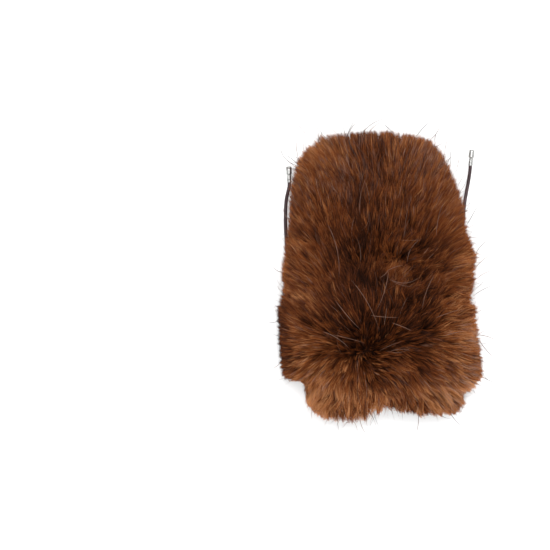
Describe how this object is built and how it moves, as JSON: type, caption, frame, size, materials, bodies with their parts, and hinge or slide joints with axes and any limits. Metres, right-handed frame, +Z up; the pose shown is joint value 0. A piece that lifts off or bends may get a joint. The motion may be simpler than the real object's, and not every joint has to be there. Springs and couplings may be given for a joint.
{
  "type": "fur mitten",
  "caption": "Long-haired fur mitten lying palm down: hollow leather bag and thumb, deep fur cuff and two drawcord ends with metal caps.",
  "frame": {"origin": "on the ground under the middle of the mitten, cord ends left out", "axes": "+X across the hand, +Y to the fingertips, +Z up from the palm to the back of the hand"},
  "size_m": [0.201, 0.2692, 0.0845],
  "materials": {
    "palm_leather": "soft matt dark brown leather",
    "long_fur": "long soft chestnut fur with dark guard hairs",
    "cord_leather": "smooth dark brown round leather cord",
    "cap_metal": "polished silver-coloured metal"
  },
  "bodies": {
    "root": {"back_panel": "palm_leather", "palm_panel": "palm_leather", "thumb_stall": "palm_leather", "hand_fur": "long_fur", "cuff_fur_back": "long_fur", "cuff_fur_palm": "long_fur", "cord_left": "cord_leather", "cord_right": "cord_leather", "cord_cap_left": "cap_metal", "cord_cap_right": "cap_metal"}
  },
  "joints": []
}
